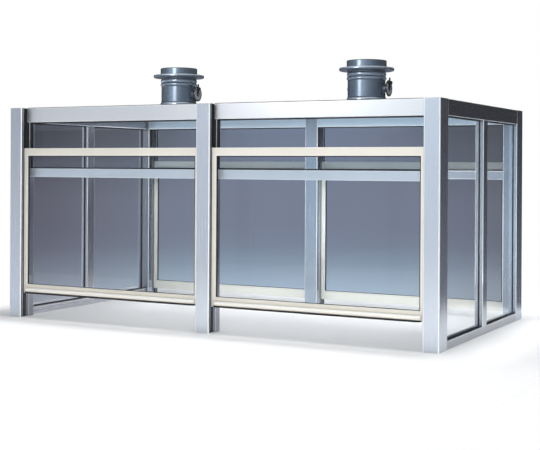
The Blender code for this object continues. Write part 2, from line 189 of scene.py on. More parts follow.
# Looks of the anodised profiles: material name, colour, lines drawn along, roughness, metallic
METAL = (0.61, 0.65, 0.71)
ANODISED = {
    # One aluminium finish, the post's; the other profile looks are paler or darker copies of it,
    # painted light and painted shade. The dial and steel are their own finishes.
    "post": ("anodised_post", METAL, "z", 0.25),
    # front top rails: paler copy, painted light
    "rail_x": ("anodised_rail_x", (0.73, 0.745, 0.765), "x", 0.36),
    # side rails and roof beam: darker copy, painted shade
    "rail_y": ("anodised_rail_y", tuple(0.66 * c for c in METAL), "y", 0.25),
    # the front posts' inner side faces: the post's aluminium darkened as painted shade
    "post_inner": ("anodised_post_inner", (0.36, 0.365, 0.41), "z", 0.3),
    # the channel filler: aluminium darkened as painted shade of the recess
    "filler": ("anodised_filler", (0.26, 0.262, 0.295), "z", 0.3),
    # right mullion: darker copy, painted shade
    "mullion": ("anodised_mullion", tuple(0.8 * c for c in METAL), "z", 0.25),
    # left side pieces and the rear left post: the aluminium darkened as painted shade
    "rail_left": ("anodised_left_rail", (0.37, 0.365, 0.405), "y", 0.28),
    "rail_left_low": ("anodised_left_bottom_rail", (0.60, 0.595, 0.645), "y", 0.28, 0.7),
    "mullion_left": ("anodised_left_mullion", (0.50, 0.50, 0.55), "z", 0.28),
    "post_left": ("anodised_left_rear_post", (0.30, 0.31, 0.34), "z", 0.25),
    # front crossbars: paler, less metallic copy, painted light
    "crossbar": ("anodised_crossbar", (0.67, 0.70, 0.74), "x", 0.38, 0.6),
    # rear row: aluminium copies with painted shade, the top rail with painted light
    "post_rear": ("anodised_rear_post", (0.47, 0.54, 0.62), "z", 0.25),
    "rail_rear": ("anodised_rear_rail", (0.66, 0.78, 0.87), "x", 0.36, 0.6),
    "crossbar_rear": ("anodised_rear_crossbar", (0.42, 0.46, 0.52), "x", 0.38, 0.6),
    "dial": ("dial_plate", (0.42, 0.425, 0.44), "z", 0.4, 0.5),
    "steel": ("zinc_steel", (0.62, 0.62, 0.60), "x", 0.28),
}

# Looks of the coated pieces: material name, colour, its darker mottle, roughness, orange peel,
# the peel's grain per metre, metallic, clear coat
COATED = {
    "cream": ("cream_profile", (0.87, 0.815, 0.725), (0.83, 0.775, 0.685), 0.34, 0.05),
    # painted highlight on the cream's rounded edges
    "cream_painted_highlight": ("cream_painted_highlight", (0.96, 0.94, 0.89), (0.93, 0.90, 0.84), 0.3, 0.03),
    # the rear sashes' cream: the front cream darkened as painted shade
    "cream_rear": ("cream_rear_painted_shade", (0.61, 0.59, 0.51), (0.57, 0.55, 0.475), 0.36, 0.05),
    # painted highlight on the rear cream's edges
    "cream_rear_painted_highlight": ("cream_rear_painted_highlight", (0.84, 0.81, 0.73), (0.80, 0.77, 0.69), 0.32, 0.03),
    "damper": (
        "damper_coating", (0.265, 0.33, 0.405), (0.23, 0.29, 0.36), 0.23, 0.04, 300.0, 0.75, 0.4,
    ),
    # the damper coating darkened as painted shade, for grooves, flange rim and boss
    "damper_dark": (
        "damper_shaded_rim", (0.14, 0.17, 0.21), (0.11, 0.135, 0.17), 0.3, 0.04, 300.0, 0.6,
    ),
    # the damper coating lightened as painted highlight, for its lips
    "damper_lip": (
        "damper_painted_lip_highlight", (0.80, 0.88, 0.97), (0.74, 0.82, 0.91), 0.2, 0.03, 300.0, 0.8,
    ),
    "black": ("black_plastic", (0.012, 0.012, 0.013), (0.02, 0.02, 0.021), 0.35, 0.1),
    "roof": ("roof_sheet", (0.40, 0.42, 0.455), (0.36, 0.38, 0.415), 0.45, 0.1),
    "nylon": ("white_nylon", (0.83, 0.83, 0.78), (0.76, 0.76, 0.70), 0.42),
}


# ---- materials


def node(tree, kind, inputs=None, **settings):
    """A new shader node. An input is a number, a colour or a socket to link from."""
    made = tree.nodes.new(kind)
    for key, value in settings.items():
        setattr(made, key, value)
    for key, value in (inputs or {}).items():
        if isinstance(value, bpy.types.NodeSocket):
            tree.links.new(value, made.inputs[key])
        else:
            made.inputs[key].default_value = value
    return made


def material(name, roughness=0.4, metallic=0.0, **more):
    """A new Principled material. more sets other sockets by name, with _ for a space."""
    made = bpy.data.materials.new(name)
    made.use_nodes = True
    shader = made.node_tree.nodes["Principled BSDF"]
    shader.inputs["Roughness"].default_value = roughness
    shader.inputs["Metallic"].default_value = metallic
    for key, value in more.items():
        shader.inputs[key.replace("_", " ")].default_value = value
    return made, made.node_tree, shader


def noise(tree, scale, detail=3.0, roughness=0.5):
    """Noise over the hood's own metres. scale is per metre, one number or X, Y and Z."""
    place = node(tree, "ShaderNodeTexCoord").outputs["Object"]
    scale = scale if isinstance(scale, list) else [scale] * 3
    mapped = node(tree, "ShaderNodeMapping", {"Vector": place, "Scale": scale})
    inputs = {"Vector": mapped.outputs[0], "Scale": 1.0, "Detail": detail, "Roughness": roughness}
    return node(tree, "ShaderNodeTexNoise", inputs).outputs["Fac"]


def spread(tree, value, low, high, start=0.3, end=0.7):
    """value's usual range start to end, stretched to low to high."""
    inputs = {"Value": value, "From Min": start, "From Max": end, "To Min": low, "To Max": high}
    return node(tree, "ShaderNodeMapRange", inputs).outputs[0]


def blend_colour(tree, amount, first, second, mode="MIX"):
    """The first colour, mixed with or multiplied by the second to that amount."""
    mixed = node(tree, "ShaderNodeMix", {"Factor": amount}, data_type="RGBA", blend_type=mode)
    for socket, value in ((mixed.inputs[6], first), (mixed.inputs[7], second)):
        if isinstance(value, bpy.types.NodeSocket):
            tree.links.new(value, socket)
        else:
            socket.default_value = (*value, 1.0)
    return mixed.outputs[2]


def wire(tree, shader, tone, roughness):
    """Drives a shader's colour and roughness."""
    tree.links.new(tone, shader.inputs["Base Color"])
    tree.links.new(roughness, shader.inputs["Roughness"])


def maths(tree, operation, first, second):
    inputs = {0: first, 1: second}
    return node(tree, "ShaderNodeMath", inputs, operation=operation).outputs[0]


def bump(tree, shader, height, strength, distance):
    made = node(
        tree, "ShaderNodeBump", {"Height": height, "Strength": strength, "Distance": distance}
    )
    tree.links.new(made.outputs[0], shader.inputs["Normal"])


def shade(colour, factor):
    return tuple(min(1.0, c * factor) for c in colour)


def aluminium(name, colour, along, roughness, metallic=0.93):
    """Satin anodised profile: fine drawn lines along one axis, faint cloudy tone."""
    made, tree, shader = material(name, roughness, metallic)
    lines = [750.0, 750.0, 750.0]
    lines["xyz".index(along)] = 3.0
    drawn = noise(tree, lines, detail=2.0)
    cloud = spread(tree, noise(tree, 2.3, detail=4.0), 0.0, 1.0)
    tone = blend_colour(tree, cloud, shade(colour, 0.96), shade(colour, 1.03))
    tone = blend_colour(tree, spread(tree, drawn, 0.0, 0.05), tone, shade(colour, 0.8))
    wire(tree, shader, tone, spread(tree, drawn, roughness - 0.02, roughness + 0.03))
    bump(tree, shader, drawn, 0.008, 0.0003)
    return made


def painted_edge_highlight(name, colour):
    """Painted highlight along the rounded edges of a profile: a pale, barely metallic finish that
    stands for the light they catch.
    """
    made, tree, shader = material(name, 0.22, 0.15)
    highlight_mottle = noise(tree, [60.0, 60.0, 9.0])
    tone = blend_colour(tree, spread(tree, highlight_mottle, 0.0, 1.0), shade(colour, 0.95), colour)
    wire(tree, shader, tone, spread(tree, highlight_mottle, 0.20, 0.28))
    return made


def coated_plastic(name, colour, dark, roughness, peel=0.08, grain=420.0, metallic=0.0, coat=0.0):
    """Moulded or coated surface: faint mottling, orange-peel bump and uneven gloss."""
    made, tree, shader = material(name, roughness, metallic)
    if coat:
        shader.inputs["Coat Weight"].default_value = coat
        shader.inputs["Coat Roughness"].default_value = 0.1
    mottle = noise(tree, 5.0, detail=5.0)
    speck = noise(tree, grain, detail=2.0)
    tone = blend_colour(tree, spread(tree, mottle, 0.0, 1.0), colour, dark)
    uneven = maths(tree, "MULTIPLY", mottle, speck)
    wire(tree, shader, tone, spread(tree, uneven, roughness - 0.05, roughness + 0.07, 0.15, 0.4))
    bump(tree, shader, speck, peel, 0.0004)
    return made


def rubber(name, colour):
    """Matt black seal or lining with a dusty bloom."""
    made, tree, shader = material(name, 0.7)
    dust = noise(tree, 35.0, detail=6.0, roughness=0.65)
    tone = blend_colour(tree, spread(tree, dust, 0.0, 0.35), colour, (0.06, 0.06, 0.065))
    wire(tree, shader, tone, spread(tree, dust, 0.6, 0.8))
    bump(tree, shader, dust, 0.15, 0.0004)
    return made


def cast_iron(name):
    """Dark gritty casting."""
    made, tree, shader = material(name, 0.6, 0.7)
    grit = noise(tree, 260.0, detail=5.0)
    dark, light = (0.07, 0.07, 0.075), (0.13, 0.12, 0.12)
    tone = blend_colour(tree, spread(tree, grit, 0.0, 1.0), dark, light)
    wire(tree, shader, tone, spread(tree, grit, 0.5, 0.75))
    bump(tree, shader, grit, 0.4, 0.0008)
    return made


def show_mix(tree, share, first, second):
    """Shows a mix of two shaders as the material's surface."""
    mix = node(tree, "ShaderNodeMixShader", {0: share, 1: first.outputs[0], 2: second.outputs[0]})
    tree.links.new(mix.outputs[0], tree.nodes["Material Output"].inputs["Surface"])


def pane_glass(name, tint):
    """Smooth tinted glass. Lamps reach what is behind it through a plain tinted stand-in."""
    made, tree, shader = material(name, 0.0, IOR=1.2, Transmission_Weight=1.0)
    haze = noise(tree, 1.4, detail=2.0)
    tone = blend_colour(tree, spread(tree, haze, 0.0, 1.0), tint, shade(tint, 0.975))
    tree.links.new(tone, shader.inputs["Base Color"])
    clear = node(tree, "ShaderNodeBsdfTransparent", {"Color": (*tint, 1.0)})
    lamp = node(tree, "ShaderNodeLightPath").outputs["Is Shadow Ray"]
    show_mix(tree, lamp, shader, clear)
    return made


def make_materials():
    looks = {look: aluminium(*values) for look, values in ANODISED.items()}
    looks.update({look: coated_plastic(*values) for look, values in COATED.items()})
    # Painted highlight on the profiles' rounded edges
    looks["edge"] = painted_edge_highlight("painted_edge_highlight", (0.98, 0.985, 1.0))
    looks["glass"] = pane_glass("pane_glass", (0.90, 0.93, 0.955))
    looks["seal"] = rubber("black_seal", (0.008, 0.008, 0.009))
    looks["lining"] = rubber("black_lining", (0.012, 0.011, 0.011))
    looks["iron"] = cast_iron("cast_iron")
    return looks


# ---- mesh building


def along(axis, a, b, t):
    """World point from two profile coordinates and the distance along the axis."""
    if axis == "x":
        return (t, a, b)
    if axis == "y":
        return (a, t, b)
    return (a, b, t)


def box_of(node_name, axis):
    """A CAD node's box in mm as (a0, b0, a1, b1, low, high) for a profile along the axis."""
    low, high = (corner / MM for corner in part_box(node_name))
    a, b, t = {"x": (1, 2, 0), "y": (0, 2, 1), "z": (0, 1, 2)}[axis]
    return low[a], low[b], high[a], high[b], low[t], high[t]


def rounded(corners):
    """Outline of (a, b, radius, flag) corners with arcs. Returns points and each face's look.

    Flag 1 gives the arc look 1, a painted highlight. Flag 3 also gives the straight face after it
    look 2, a painted shade.
    """
    points, faces = [], []
    for i, (a, b, radius, flag) in enumerate(corners):
        corner = Vector((a, b))
        before = (Vector(corners[i - 1][:2]) - corner).normalized()
        after = (Vector(corners[(i + 1) % len(corners)][:2]) - corner).normalized()
        half = before.angle(after) / 2
        centre = corner + (before + after).normalized() * radius / sin(half)
        first = corner + before * radius * cos(half) / sin(half) - centre
        last = corner + after * radius * cos(half) / sin(half) - centre
        turn = pi - 2 * half
        for k in range(ARC_STEPS + 1):
            share = k / ARC_STEPS
            arm = (first * sin((1 - share) * turn) + last * sin(share * turn)) / sin(turn)
            points.append(tuple(centre + arm))
            faces.append(min(flag, 1) if k < ARC_STEPS else 2 * (flag > 1))
    return points, faces


def wrap(rows, n, start=0, closed=False):
    """Faces between rings of n points each. start is the first ring's first point."""
    faces = []
    for r in range(rows if closed else rows - 1):
        here, there = start + r * n, start + (r + 1) % rows * n
        faces += [(here + i, here + (i + 1) % n, there + (i + 1) % n, there + i) for i in range(n)]
    return faces


def caps(rows, n, start=0):
    """The two end faces of such a run of rings."""
    last = start + (rows - 1) * n
    return [tuple(range(start, start + n)), tuple(range(last, last + n))]


def finished(name, points, faces, looks, flags=None, bevel=0.0):
    """An object from points in mm. flags gives each face its place in looks."""
    mesh = bpy.data.meshes.new(name)
    mesh.from_pydata([[c * MM for c in p] for p in points], [], faces)
    for look in looks:
        mesh.materials.append(look)
    if flags is not None:
        mesh.polygons.foreach_set("material_index", flags)
    bm = bmesh.new()
    bm.from_mesh(mesh)
    bmesh.ops.recalc_face_normals(bm, faces=bm.faces)
    bm.to_mesh(mesh)
    bm.free()
    made = bpy.data.objects.new(name, mesh)
    bpy.context.scene.collection.objects.link(made)
    if bevel:
        round_edges(made, bevel)
    return smoothed(made)


def round_edges(made, width):
    """Bevels the object's sharp edges by a width in mm."""
    step = made.modifiers.new("Edges", "BEVEL")
    step.width = width * MM
    step.segments = 2
    step.limit_method = "ANGLE"
    step.angle_limit = radians(BEVEL_ANGLE)
    bake_modifiers(made)


def smoothed(made):
    """Smooth shading with crisp corners, and normals that keep the broad faces flat."""
    made.data.shade_smooth()
    made.data.set_sharp_from_angle(angle=radians(SMOOTH_ANGLE))
    step = made.modifiers.new("Normals", "WEIGHTED_NORMAL")
    step.weight = 100
    step.keep_sharp = True
    bake_modifiers(made)
    return made


def bake_modifiers(made):
    """Turns the object's modifiers into its mesh."""
    bpy.context.view_layer.update()
    graph = bpy.context.evaluated_depsgraph_get()
    baked = bpy.data.meshes.new_from_object(made.evaluated_get(graph))
    made.modifiers.clear()
    made.data = baked


def place(made, body, slot, *nodes):
    """Puts a piece on its body and hides the CAD nodes it stands for. Its slot is not used."""
    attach(made, body)
    if nodes:
        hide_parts(*nodes)
    return made


def extrusion(name, axis, corners, low, high, looks, hollow=None, closed_end=0.0, bevel=0.0):
    """A profile drawn out along an axis, solid or with a hollow of as many corners."""
    outline, flags = rounded(corners)
    n = len(outline)
    points = [along(axis, a, b, t) for t in (low, high) for a, b in outline]
    faces = wrap(2, n)
    if hollow is None:
        faces += caps(2, n)
    else:
        inside, _ = rounded(hollow)
        points += [along(axis, a, b, t) for t in (low, high - closed_end) for a, b in inside]
        for i in range(n):
            j = (i + 1) % n
            faces.append((2 * n + i, 2 * n + j, 3 * n + j, 3 * n + i))
            faces.append((i, j, 2 * n + j, 2 * n + i))
            if not closed_end:
                faces.append((n + i, n + j, 3 * n + j, 3 * n + i))
        if closed_end:
            faces += [tuple(range(n, 2 * n)), tuple(range(3 * n, 4 * n))]
    flags += [0] * (len(faces) - len(flags))
    return finished(name, points, faces, looks, flags, bevel)


def rectangle(a0, b0, a1, b1, radius, flags=(0, 0, 0, 0)):
    """Corners from the low one round to (a0, b1), each with its own flag."""
    spots = ((a0, b0), (a1, b0), (a1, b1), (a0, b1))
    return [(a, b, radius, flag) for (a, b), flag in zip(spots, flags)]


def ring(name, axis, outer, widths, profile, looks):
    """A mitred rectangular frame. outer is (a0, b0, a1, b1), widths are left, low, right, high.

    profile is a closed loop of (edge, inset, t, flag): edge 0 counts inwards from the outer edge,
    edge 1 outwards from the opening, t is the distance along the axis, and flag picks the look.
    """
    a0, b0, a1, b1 = outer
    points, flags = [], []
    for edge, inset, t, flag in profile:
        shift = [width - inset for width in widths] if edge else [inset] * 4
        x0, z0, x1, z1 = a0 + shift[0], b0 + shift[1], a1 - shift[2], b1 - shift[3]
        points += [along(axis, *spot, t) for spot in ((x0, z0), (x1, z0), (x1, z1), (x0, z1))]
        flags += [flag] * 4
    return finished(name, points, wrap(len(profile), 4, closed=True), looks, flags)


def turned(name, axis, centre, profile, looks, segments=DAMPER_SEGMENTS, closed=False, wave=None):
    """A solid of revolution about an axis through centre, from (radius, distance along) points.

    A third number on a point is the place in looks of the faces from it to the next point. closed
    joins the last point to the first, for a ring. wave(angle, radius) scales the radius round it.
    """
    ca, cb = centre
    points = []
    for radius, t, *_ in profile:
        for i in range(segments):
            angle = 2 * pi * i / segments
            reach = radius * (wave(angle, radius) if wave else 1.0)
            points.append(along(axis, ca + reach * cos(angle), cb + reach * sin(angle), t))
    rows = len(profile)
    faces = wrap(rows, segments, closed=closed)
    flags = [point[2] if len(point) > 2 else 0 for point in profile for _ in range(segments)]
    if not closed:
        faces += caps(rows, segments)
        flags = flags[:-segments] + [0, 0]
    return finished(name, points, faces, looks, flags)


def combine(made, others, operation):
    """Joins other closed objects to made, or cuts them from it, and removes them."""
    for other in others:
        step = made.modifiers.new(operation.title(), "BOOLEAN")
        step.operation = operation
        step.solver = "EXACT"
        step.object = other
    bake_modifiers(made)
    for other in others:
        bpy.data.objects.remove(other, do_unlink=True)
    return smoothed(made)


def soften(made, width):
    """Rounds the object's sharp edges and shades them again."""
    round_edges(made, width)
    return smoothed(made)


def outline_prism(name, outline, low, high, look):
    """A flat plate across X from a (y, z) outline in mm."""
    n = len(outline)
    points = [(x, y, z) for x in (low, high) for y, z in outline]
    return finished(name, points, wrap(2, n) + caps(2, n), [look])


# ---- frame members


def post_side(x, way, at):
    """Corners of a post's side that has a sash channel, from the outer face inwards."""
    groove = GROOVE_DEEP * way
    deep = CHANNEL_DEEP * way
    return [
        (x, at(GROOVE_AT), 0.5, 0), (x - groove, at(GROOVE_AT), 0.4, 0),
        (x - groove, at(GROOVE_AT + GROOVE_W), 0.4, 0), (x, at(GROOVE_AT + GROOVE_W), 0.5, 0),
        (x, at(CHANNEL_NEAR), LIP_CORNER, 1), (x - deep, at(CHANNEL_NEAR), 0.5, 0),
        # the far lip's flag 3 paints shade on the face after it
        (x - deep, at(CHANNEL_FAR), 0.5, 0), (x, at(CHANNEL_FAR), LIP_CORNER, 3),
    ]


def plain_side(x, way, at):
    """Corners of a post's outer side: one fine groove behind the front corner."""
    floor = x - GROOVE_DEEP * way
    near, far = at(EDGE_GROOVE_AT), at(EDGE_GROOVE_AT + GROOVE_W)
    return [(x, near, 0.3, 0), (floor, near, 0.3, 0), (floor, far, 0.3, 0), (x, far, 0.3, 0)]


def plain_hollow_side(x, way, at):
    """The hollow's corners behind the groove, on its straight wall."""
    return [
        (x - WALL * way - 0.02 * way * (k % 2), at(WALL + 3.0 * (k + 1)), 0.01, 0)
        for k in range(4)
    ]


def post_hollow_side(x, way, at):
    """The hollow's corners behind a channel side, one for each of post_side's."""
    skin = x - WALL * way
    deep = x - (CHANNEL_DEEP + WALL) * way
    near, far = at(CHANNEL_NEAR - WALL), at(CHANNEL_FAR + WALL)
    return [
        (skin, at(WALL + 8.0), 0.2, 0), (skin - way, at(WALL + 10.0), 0.2, 0),
        (skin - way, at(WALL + 13.0), 0.2, 0), (skin, at(WALL + 15.0), 0.2, 0),
        (skin, near, 0.5, 0), (deep, near, 0.5, 0), (deep, far, 0.5, 0), (skin, far, 0.5, 0),
    ]


def side_corners(x, way, at, channel):
    """A post side's corners and those of the hollow behind it."""
    if channel:
        return post_side(x, way, at), post_hollow_side(x, way, at)
    return plain_side(x, way, at), plain_hollow_side(x, way, at)


def build_post(looks, row, column):
    face = ROWS[row]
    name = f"post_{row}_{column}"
    x0, y0, x1, y1, low, high = box_of(name, "z")
    outer, inner = (y0, y1) if face < 0 else (y1, y0)

    def at(depth):
        """Y at a depth behind the post's outer face."""
        return outer - face * depth

    right, right_hollow = side_corners(x1, 1.0, at, column != "right")
    left, left_hollow = side_corners(x0, -1.0, at, column != "left")
    corners = [(x0, outer, POST_CORNER, 1), (x1, outer, POST_CORNER, 1), *right]
    # flag 3 paints shade on the inner side face after this corner, except on the left post
    corners += [(x1, inner, RAIL_CORNER, 1), (x0, inner, RAIL_CORNER, 1 if column == "left" else 3)]
    hollow = [(x0 + WALL, at(WALL), 1.0, 0), (x1 - WALL, at(WALL), 1.0, 0), *right_hollow]
    skin = inner + face * WALL
    hollow += [(x1 - WALL, skin, 1.0, 0), (x0 + WALL, skin, 1.0, 0)]
    # the rear left post and the rear row take darker copies of the aluminium: painted shade
    look = "post_left" if name == "post_rear_left" else POST_LOOK[row]
    made = extrusion(
        f"{name}_profile", "z", corners + left[::-1], low, high,
        [looks[look], looks["edge"], looks[INNER_SHADE_LOOK[row]]], hollow + left_hollow[::-1],
        closed_end=WALL, bevel=END_BEVEL,
    )
    place(made, "frame", METAL_SLOT, name)
    for side, x, way in (("right", x1, 1.0), ("left", x0, -1.0)):
        if side != column:
            build_guides(looks, name, row, side, x, way, at, low, high)


def build_guides(looks, name, row, side, x, way, at, low, high):
    """What lines one channel of a post: filler, black lining at the front, and two lip seals."""
    joint = low + LINING_JOINT if row == "front" else high - 1.0
    filler = f"{name}_filler_{side}"
    # the filler's dark look is painted shade of the channel
    made = build_lining(looks["filler"], filler, x, way, at, low + 1.0, joint)
    place(made, "frame", METAL_SLOT)
    if row == "front":
        lining = f"{name}_lining_{side}"
        made = build_lining(looks["lining"], lining, x, way, at, joint, high - 1.0)
        place(made, "frame", SEAL)
    for part, start, end in LIP_SEALS:
        near, far = sorted((at(start), at(end)))
        made = extrusion(
            f"{name}_lip_seal_{part}_{side}", "z",
            rectangle(x, near, x + LIP_SEAL_T * way, far, 0.35),
            low + 2.0, high - 2.0, [looks["seal"]],
        )
        place(made, "frame", SEAL)


def build_lining(look, name, x, way, at, low, high):
    """Guide in a channel: a thin floor and a block behind the sash's track."""
    floor = x - (CHANNEL_DEEP - LINING_CLEAR) * way
    top_of_floor = floor + LINING_T * way
    block = x - LINING_BLOCK_LOW * way
    near, step = at(CHANNEL_NEAR + LINING_CLEAR), at(LINING_BLOCK_AT)
    far = at(CHANNEL_FAR - LINING_CLEAR)
    corners = [
        (floor, near, 0.2, 0), (top_of_floor, near, 0.2, 0), (top_of_floor, step, 0.2, 0),
        (block, step, 0.8, 0), (block, far, 0.8, 0), (floor, far, 0.2, 0),
    ]
    return extrusion(name, "z", corners, low, high, [look])


def build_tube(looks, name, axis, look, flags=(1, 1, 1, 1)):
    """A rectangular tube with rounded edges, in place of a straight CAD member."""
    a0, b0, a1, b1, low, high = box_of(name, axis)
    # flags 1 put the painted highlight on these rounded edges
    made = extrusion(
        f"{name}_profile", axis, rectangle(a0, b0, a1, b1, RAIL_CORNER, flags), low, high,
        [looks[look], looks["edge"]],
        rectangle(a0 + WALL, b0 + WALL, a1 - WALL, b1 - WALL, 0.6), bevel=END_BEVEL,
    )
    place(made, "frame", METAL_SLOT, name)


def build_frame(looks):
    for row in ROWS:
        for column in ("left", "middle", "right"):
            build_post(looks, row, column)
        for bay in SIDES:
            build_tube(looks, f"top_rail_{row}_{bay}", "x", RAIL_LOOK[row])
            build_tube(looks, f"crossbar_{row}_{bay}", "x", CROSSBAR_LOOK[row])
            build_seal(
                looks, f"upper_seal_{row}_{bay}", f"upper_pane_{row}_{bay}", "y",
                (PANE_SEAL_W,) * 4, UPPER_SEAL_OUT, "frame",
            )
    for side in SIDES:
        top_rail, bottom_rail, mullion = SIDE_LOOKS[side]
        build_tube(looks, f"top_rail_side_{side}", "y", top_rail)
        build_tube(looks, f"bottom_rail_side_{side}", "y", bottom_rail)
        build_tube(looks, f"mullion_side_{side}", "z", mullion)
        for row in ROWS:
            build_seal(
                looks, f"side_seal_{side}_{row}", f"side_pane_{side}_{row}", "x",
                (PANE_SEAL_W, PANE_SEAL_FOOT, PANE_SEAL_W, PANE_SEAL_W), PANE_SEAL_OUT, "frame",
            )


def seal_profile(near, far, out):
    """Section of a glazing seal that covers a pane's edge on both faces."""
    low, high = min(near, far) - out, max(near, far) + out
    return [
        (0, 0.0, low, 0), (0, 0.0, high, 0), (1, 1.2, high, 0),
        (1, 0.0, high - 1.2, 0), (1, 0.0, low + 1.2, 0), (1, 1.2, low, 0),
    ]


def build_seal(looks, name, pane, axis, widths, out, body):
    """Glazing seal round a pane."""
    *outer, near, far = box_of(pane, axis)
    made = ring(name, axis, outer, widths, seal_profile(near, far, out), [looks["seal"]])
    place(made, body, SEAL)


# ---- sashes


def sash_profile(near, face, thick):
    """Section of the sash's cream profile, both faces with rounded edges and a bead step."""
    def half(start, sign):
        # flag 1 faces take the painted highlight
        steps = [
            (0, 2.2, 0.0, 0), (1, BEAD_W + 1.0, 0.0, 1), (1, BEAD_W, 0.5, 0),
            (1, BEAD_W - 0.6, BEAD_DEEP, 0), (1, 1.2, BEAD_DEEP, 1),
            (1, 0.3, BEAD_DEEP + 0.5, 1), (1, 0.0, BEAD_DEEP + 1.6, 0),
        ]
        return [(edge, inset, start + sign * t, flag) for edge, inset, t, flag in steps]

    back = near - face * thick
    loop = [(0, 0.6, near - face * 0.6, 1), *half(near, -face), *half(back, face)[::-1]]
    loop += [(0, 0.6, back + face * 0.6, 0), (0, 0.0, back + face * 2.0, 0)]
    return loop + [(0, 0.0, near - face * 2.0, 1)]


def build_sash(looks, row, bay):
    face = ROWS[row]
    body = f"sash_{row}_{bay}"
    cream = [looks[look] for look in CREAM_LOOKS[row]]
    *outer, low, high = box_of(f"sash_frame_{row}_{bay}", "y")
    near, far = (low, high) if face < 0 else (high, low)
    made = ring(
        f"sash_profile_{row}_{bay}", "y", outer, (STILE_W, SASH_BOTTOM_H, STILE_W, SASH_TOP_H),
        sash_profile(near, face, abs(far - near)), cream,
    )
    place(made, body, CREAM_SLOT, f"sash_frame_{row}_{bay}")
    build_seal(
        looks, f"sash_seal_{row}_{bay}", f"sash_pane_{row}_{bay}", "y",
        (SEAL_W, SEAL_FOOT, SEAL_W, SEAL_W), SEAL_OUT, body,
    )
    build_handle(looks["seal"], cream, row, bay, body)
    build_foot_strip(cream, row, bay, body)


def handle_box(row, bay):
    """The handle's CAD box as (back, nose, low, high, start, end), back on the sash."""
    y0, z0, y1, z1, start, end = box_of(f"sash_handle_{row}_{bay}", "x")
    back, nose = (y1, y0) if ROWS[row] < 0 else (y0, y1)
    return back, nose, z0, z1, start, end


def build_handle(seal, cream, row, bay, body):
    """Bull-nosed lift rail whose ends sweep back to the sash, with a grip strip under it."""
    face = ROWS[row]
    back, nose, z0, z1, start, end = handle_box(row, bay)
    reach, radius, middle = abs(nose - back), (z1 - z0) / 2, (z0 + z1) / 2
    sweep = []
    for k in range(HANDLE_SECTIONS + 1):
        angle = pi / 2 * k / HANDLE_SECTIONS
        share = HANDLE_TIP + (1.0 - HANDLE_TIP) * sin(angle)
        sweep.append((HANDLE_END * (1 - cos(angle)), share))
    sections = [(start + run, share) for run, share in sweep]
    sections += [(end - run, share) for run, share in sweep[::-1]]
    rows = len(sections)

    profile = [(0.0, z0 + 1.0), (0.0, z1 - 1.0), (1.0, z1)]
    for i in range(NOSE_STEPS + 1):
        angle = radians(NOSE_TURN - 2 * NOSE_TURN * i / NOSE_STEPS)
        profile.append((reach - radius + radius * cos(angle), middle + radius * sin(angle)))
    profile.append((1.0, z0))
    n = len(profile)
    points = [(x, back + face * out * share, z) for x, share in sections for out, z in profile]
    # the nose faces in NOSE_BRIGHT take the painted highlight
    flags = [int(i in NOSE_BRIGHT) for i in range(n)] * (rows - 1) + [0, 0]
    name = f"sash_lift_rail_{row}_{bay}"
    made = finished(name, points, wrap(rows, n) + caps(rows, n), cream, flags)
    place(made, body, CREAM_SLOT, f"sash_handle_{row}_{bay}")

    points = []
    for x, share in sections:
        near = back + face * GRIP_GAP
        far = back + face * max(GRIP_OUT, (reach - GRIP_IN) * share)
        high, low = z0 - 0.2, z0 - GRIP_T
        points += [(x, near, high), (x, far, high), (x, far, low), (x, near, low)]
    faces = wrap(rows, 4) + caps(rows, 4)
    made = finished(f"sash_grip_strip_{row}_{bay}", points, faces, [seal])
    place(made, body, SEAL)


def build_foot_strip(cream, row, bay, body):
    """Ribbed strip on the sash's lower member, just above the lift rail."""
    face = ROWS[row]
    back, _, _, top_of_rail, start, end = handle_box(row, bay)
    foot = top_of_rail + FOOT_STRIP_UP
    out = back + face * FOOT_STRIP_T
    ribs = int(FOOT_STRIP_H / RIB_PITCH)
    # flag 1 puts the painted highlight on the rib crests
    corners = [(back, foot, 0.3, 0), (out, foot, 0.5, 1)]
    for k in range(1, ribs):
        z = foot + k * RIB_PITCH
        corners += [(out, z - RIB_NICK, 0.2, 1), (back + face * 0.5, z, 0.2, 0)]
        corners += [(out, z + RIB_NICK, 0.2, 0)]
    top = foot + ribs * RIB_PITCH
    corners += [(out, top, 0.5, 1), (back, top, 0.3, 0)]
    made = extrusion(f"sash_foot_strip_{row}_{bay}", "x", corners, start, end, cream)
    place(made, body, CREAM_SLOT)


# ---- roof


def build_roof(looks):
    # the beam's upper edges take the painted highlight
    build_tube(looks, "roof_beam", "y", "rail_y", (0, 0, 1, 1))
    *outer, _, high = box_of("roof_panel", "z")
    section = [
        (0, 0.0, high, 0), (0, 0.0, high + ROOF_SEAL_H, 0),
        (1, 4.0, high + ROOF_SEAL_LIP, 0), (1, 0.0, high, 0),
    ]
    made = ring("roof_panel_seal", "z", outer, (ROOF_SEAL_W,) * 4, section, [looks["seal"]])
    place(made, "frame", SEAL)
    # Black strips on the top rails' outer edges: painted shade for the dark line along them
    for row, face in ROWS.items():
        for bay in SIDES:
            y0, _, y1, top, start, end = box_of(f"top_rail_{row}_{bay}", "x")
            edge = (y0 if face < 0 else y1) - face * CAP_IN
            near, far = sorted((edge, edge - face * CAP_W))
            made = extrusion(
                f"roof_edge_shade_strip_{row}_{bay}", "x", rectangle(near, top, far, top + CAP_H, 0.5),
                start, end, [looks["seal"]],
            )
            place(made, "frame", SEAL)


# ---- dampers


def bulge(radius, z0, z1, rise, looks):
    """A convex band, proud of radius by rise in the middle, with a look for each step."""
    last = len(looks) - 1
    return [
        (radius + rise * sin(pi * i / last), z0 + (z1 - z0) * i / last, look)
        for i, look in enumerate(looks)
    ]


